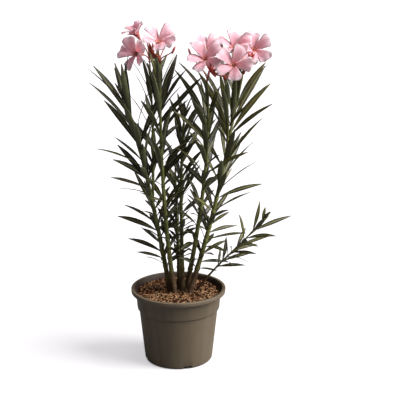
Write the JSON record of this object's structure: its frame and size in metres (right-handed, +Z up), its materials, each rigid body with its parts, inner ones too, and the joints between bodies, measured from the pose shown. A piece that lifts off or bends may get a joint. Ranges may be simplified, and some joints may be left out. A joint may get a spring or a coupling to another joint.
{
  "type": "potted oleander",
  "caption": "Young oleander with upright canes, whorls of narrow dark leaves and clusters of pink flowers, in a round tapered nursery pot.",
  "frame": {"origin": "centre of the pot's flat underside", "axes": "+Z up the plant, -Y towards the front of the picture, +X to its right"},
  "size_m": [0.3903, 0.2187, 0.6801],
  "materials": {
    "pot": "satin moulded plastic, taupe",
    "mix": "loose bark fibre, rough",
    "cane": "smooth olive bark",
    "leaf": "leathery leaf, slight sheen",
    "petal": "soft petal, matte"
  },
  "bodies": {
    "root": {"pot": "pot", "potting_mix": "mix", "cane_left": "cane", "cane_inner_left": "cane", "cane_centre_short": "cane", "cane_centre_tall": "cane", "cane_inner_right": "cane", "cane_right": "cane", "cane_low_side": "cane", "blossom_left": "petal", "blossom_inner_left": "petal", "blossom_inner_right": "petal", "blossom_right_near": "petal", "blossom_right_far": "petal", "leaves_left_top": "leaf", "leaves_right_far": "leaf", "leaves_right_near": "leaf", "leaves_left_mid": "leaf", "leaves_left_low": "leaf", "leaves_right_mid": "leaf", "leaves_right_low": "leaf", "leaves_low_side": "leaf", "leaves_inner_left_top": "leaf", "leaves_inner_right_top": "leaf", "leaves_left_branch_top": "leaf", "leaves_centre_tall_top": "leaf", "leaves_inner_left_mid": "leaf", "leaves_inner_right_mid": "leaf", "leaves_left_branch_low": "leaf", "leaves_centre_short": "leaf", "leaves_centre_tall_low": "leaf", "leaves_inner_right_low": "leaf", "leaves_inner_left_low": "leaf"}
  },
  "joints": []
}
